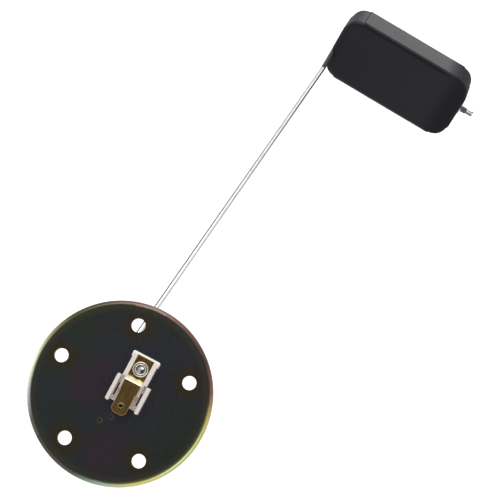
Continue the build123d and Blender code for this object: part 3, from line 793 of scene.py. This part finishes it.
# rheostat winding: turns of resistance wire laid side by side round the card
winding = {
    "Turns": 46,
    "Card Radius": 0.0140,
    "Half Span": radians(38.0),
    "Length": 0.0096 - 0.0004,    # between the wire's middles, so less its thickness
    "Depth": 0.0016 - 0.0004,
    "Wire Radius": 0.000196,
    "Wire Sides": 8,
    "Corner Radius": 0.00045,
    "Corner Points": 3,
    "Lean": radians(1.2),
    "Middle": 0.0022,
}
coilTree = Growth("windingTurns", winding)
given = coilTree.given
loop = coilTree.node("GeometryNodeCurvePrimitiveQuadrilateral", {"mode": "RECTANGLE"},
                     {"Width": given("Length"), "Height": given("Depth")})
loop = coilTree.node("GeometryNodeFilletCurve", {"mode": "POLY"},
                     {"Curve": loop, "Count": given("Corner Points"), "Radius": given("Corner Radius")})
strand = coilTree.node("GeometryNodeCurvePrimitiveCircle", {"mode": "RADIUS"},
                       {"Resolution": given("Wire Sides"), "Radius": given("Wire Radius")})
turnMesh = coilTree.node("GeometryNodeCurveToMesh", None, {"Curve": loop, "Profile Curve": strand})
leaning = coilTree.node("ShaderNodeCombineXYZ", None, {1: given("Lean")})
turnMesh = coilTree.node("GeometryNodeTransform", None, {"Geometry": turnMesh, "Rotation": leaning})
pitch = given("Half Span") * 2 / given("Turns")
sweep = (coilTree.node("GeometryNodeInputIndex") + 0.5) * pitch - given("Half Span")
across = coilTree.maths("SINE", sweep) * given("Card Radius")
below = coilTree.maths("COSINE", sweep) * given("Card Radius") * -1.0
seat = coilTree.node("ShaderNodeCombineXYZ", None, {0: given("Middle"), 1: across, 2: below})
bearing = coilTree.node("ShaderNodeCombineXYZ", None, {0: sweep - pi / 2})
stations = coilTree.node("GeometryNodeMeshLine", {"mode": "OFFSET", "count_mode": "TOTAL"},
                         {"Count": given("Turns")})
stations = coilTree.node("GeometryNodeSetPosition", None, {"Geometry": stations, "Position": seat})
coilTree.close(coilTree.node("GeometryNodeInstanceOnPoints", None, {
    "Points": stations, "Instance": turnMesh, "Rotation": bearing}), "resistance_wire")
coilMesh = shade(coilTree.grow("resistanceWinding", bpy.data.meshes.new("coilBase")), sharp=60)
fit("resistanceWinding", coilMesh, "flange", "resistance_wire", "resistance_winding", pivotFrame)
print("winding:", len(coilMesh.polygons), "faces")

# terminal rivet: two rolled rings round a mandrel that broke off at a slant
rivet = {
    "headLow": 0.0020,
    "headTop": 0.00285,
    "rim": 0.0031,
    "rimTop": 0.00275,
    "rimRise": 0.00022,
    "lipOut": 0.00005,
    "lipRise": 0.00006,
    "lipDrop": 0.00001,
    "groove": (0.00262, 0.00226, 0.00244),    # outside, inside and floor
    "bead": (0.00222, 0.00175),    # outside and inside
    "boreFloor": 0.00205,
    "core": 0.00168,
    "coreRise": 0.00040,
    "slant": (0.09, 0.27),
    "slantStart": 0.00001,    # above the bore's floor
    "shank": 0.0019,
    "tail": 0.0027,
    "tailTop": -0.0051,
    "tailLow": -0.0057,
    "tailBore": 0.00155,
    "tailBoreTop": -0.0041,
    "segments": 72,
}


def arc(center, out, up, angles):
    # points (radius, height) round a centre, angles in degrees from outwards to upwards
    return [(center[0] + out * cos(radians(a)), center[1] + up * sin(radians(a))) for a in angles]


def lathe(profile, count):
    # turns a closed profile of (radius, height) about Z, whose ends may lie on the axis
    made = bmesh.new()
    rings = []
    for out, up in profile:
        angles = [2 * pi * i / count for i in range(count if out > 0 else 1)]
        rings.append([made.verts.new((out * cos(a), out * sin(a), up)) for a in angles])
    for low, high in zip(rings, rings[1:]):
        for i in range(count):
            j = (i + 1) % count
            corners = [low[i % len(low)], low[j % len(low)], high[j % len(high)], high[i % len(high)]]
            made.faces.new([c for k, c in enumerate(corners) if c not in corners[:k]])
    bmesh.ops.recalc_face_normals(made, faces=made.faces)
    return freed(made, "turned")


top = rivet["headTop"]
grooveOut, grooveIn, grooveFloor = rivet["groove"]
beadOut, beadIn = rivet["bead"]
beadHalf = (beadOut - beadIn) / 2
beadSide = top - beadHalf
rimSide = rivet["headLow"] + rivet["rimRise"]
profile = [(rivet["core"] * a / 90, rivet["boreFloor"] + rivet["coreRise"] * cos(radians(a)))
           for a in range(0, 91, 10)]
profile += [(beadIn, rivet["boreFloor"]), (beadIn, beadSide)]
profile += arc(((beadOut + beadIn) / 2, beadSide), beadHalf, beadHalf, range(165, 0, -15))
profile += [(beadOut, beadSide), (beadOut, grooveFloor), (grooveIn, grooveFloor), (grooveOut, grooveFloor)]
profile += [(grooveOut, top - rivet["lipRise"]), (grooveOut + rivet["lipOut"], top - rivet["lipDrop"])]
profile += [(rivet["rimTop"], top)]
profile += arc((rivet["rimTop"], rimSide), rivet["rim"] - rivet["rimTop"], top - rimSide, range(72, -1, -18))
profile += [(rivet["rim"], rivet["headLow"]), (rivet["shank"], rivet["headLow"])]
profile += [(rivet["shank"], rivet["tailTop"]), (rivet["tail"], rivet["tailTop"])]
profile += [(rivet["tail"], rivet["tailLow"]), (rivet["tailBore"], rivet["tailLow"])]
profile += [(rivet["tailBore"], rivet["tailBoreTop"]), (0.0, rivet["tailBoreTop"])]
rivetMesh = lathe(profile, rivet["segments"])
for point in rivetMesh.vertices:
    if point.co.z > rivet["boreFloor"] + rivet["slantStart"] and point.co.xy.length < rivet["core"]:
        point.co.z += rivet["slant"][0] * point.co.x + rivet["slant"][1] * point.co.y
fit("terminalRivet", shade(rivetMesh, sharp=40), "flange", "brass_rivet", "terminal_rivet", terminalFrame)
print("terminal rivet turned")

# domed rivets: a shank with a set head at each end, one where each of the frame's rivets is
domeDetail = {"Segments": 28, "Rings": 14}
domedRivets = {
    "former_rivets": ("formerRivets", "flange", "steel_bright",
                      {"Head Radius": 0.0020, "Head Rise": 0.0007, "Shank Radius": 0.0012}),
    "wiper_rivets": ("wiperRivets", "arm", "brass_rivet",
                     {"Head Radius": 0.0008, "Head Rise": 0.00035, "Shank Radius": 0.0005}),
}


def rivetSpots(node):
    # the middle of each rivet in a node, and a rivet's length, in the sender's frame
    solids = merged(node)
    bmesh.ops.transform(solids, matrix=senderFrame.inverted(), verts=solids.verts)
    spots = []
    found = set()
    for start in solids.verts:
        if start in found:
            continue
        found.add(start)
        island = [start]
        for vert in island:
            for edge in vert.link_edges:
                other = edge.other_vert(vert)
                if other not in found:
                    found.add(other)
                    island.append(other)
        low, high = [Vector([extreme(v.co[axis] for v in island) for axis in range(3)])
                     for extreme in (min, max)]
        spots.append((low + high) / 2)
        length = high.x - low.x
    solids.free()
    return spots, length


def domedRivetTree(name, sizes, slot):
    tree = Growth(name + "Tree", sizes)
    given = tree.given
    ball = tree.node("GeometryNodeMeshUVSphere", None, {
        "Segments": given("Segments"), "Rings": given("Rings"), "Radius": 1.0})
    x, y, z = tree.xyz(tree.node("GeometryNodeInputPosition"))
    foot = given("Length") / 2 - given("Head Rise")
    shape = tree.node("ShaderNodeCombineXYZ", None, {
        0: x * given("Head Radius"), 1: y * given("Head Radius"),
        2: tree.maths("MAXIMUM", z, 0.0) * given("Head Rise") + foot})
    head = tree.node("GeometryNodeSetPosition", None, {"Geometry": ball, "Position": shape})
    tail = tree.node("GeometryNodeTransform", None, {"Geometry": head, "Rotation": (pi, 0.0, 0.0)})
    shank = tree.node("GeometryNodeMeshCylinder", None, {
        "Vertices": given("Segments"), "Radius": given("Shank Radius"), "Depth": foot * 2})
    whole = tree.node("GeometryNodeJoinGeometry")
    for part in (head, tail, shank):
        tree.feed(whole.socket.node.inputs[0], part)
    tree.close(tree.node("GeometryNodeInstanceOnPoints", None, {
        "Points": given("Base"), "Instance": whole, "Rotation": (0.0, pi / 2, 0.0)}), slot)
    return tree


for node, (name, body, slot, sizes) in domedRivets.items():
    spots, length = rivetSpots(node)
    base = bpy.data.meshes.new(name)
    base.from_pydata(spots, [], [])
    rivetTree = domedRivetTree(name, {**sizes, **domeDetail, "Length": length}, slot)
    fit(name, shade(rivetTree.grow(name, base), sharp=40), body, slot, node, senderFrame)
    print("rivets:", name, len(spots))

# sheet and moulded parts, their edges broken as pressing and moulding leave them
brokenEdges = {
    "terminal_insulator": ("terminalInsulator", "flange", 0.00014, 3),
    "blade_terminal": ("bladeTerminal", "flange", 0.00016, 3),
    "contact_strip": ("contactStrip", "flange", 0.00006, 2),
    "mounting_bracket": ("mountingBracket", "flange", 0.00012, 2),
    "resistor_former": ("resistorFormer", "flange", 0.00012, 2),
    "card_clips": ("cardClips", "flange", 0.00006, 2),
    "arm_lever": ("armLever", "arm", 0.00010, 2),
    "wiper_hub": ("wiperHub", "arm", 0.00010, 2),
}
edgeRules = {
    "flat": 0.5,    # degrees up to which neighbouring triangles are one face
    "sharp": 34,
}
# the blade's two small steps beside its pad leave a bevel no room, so they are closed first
closedSteps = {"blade_terminal": 0.00006}
slotOf = {part["node"]: part["material_slot"] for part in frame["record"]["subparts"]}


def softened(made, name, width, segments):
    bmesh.ops.dissolve_limit(made, angle_limit=radians(edgeRules["flat"]),
                             verts=made.verts, edges=made.edges)
    mesh = freed(made, name)
    if "custom_normal" in mesh.attributes:
        mesh.attributes.remove(mesh.attributes["custom_normal"])
    piece = added(name, shade(mesh, edgeRules["sharp"]))
    bevel = piece.modifiers.new("edges", "BEVEL")
    bevel.width = width
    bevel.segments = segments
    bevel.limit_method = "ANGLE"
    bevel.angle_limit = radians(edgeRules["sharp"])
    bevel.use_clamp_overlap = True
    bevel.harden_normals = True
    return settled(piece)


for node, (name, body, width, segments) in brokenEdges.items():
    mesh = softened(merged(node, closedSteps.get(node, sameCorner)), name, width, segments)
    fit(name, mesh, body, slotOf[node], node)
    print("edges broken:", name, len(mesh.polygons), "faces")
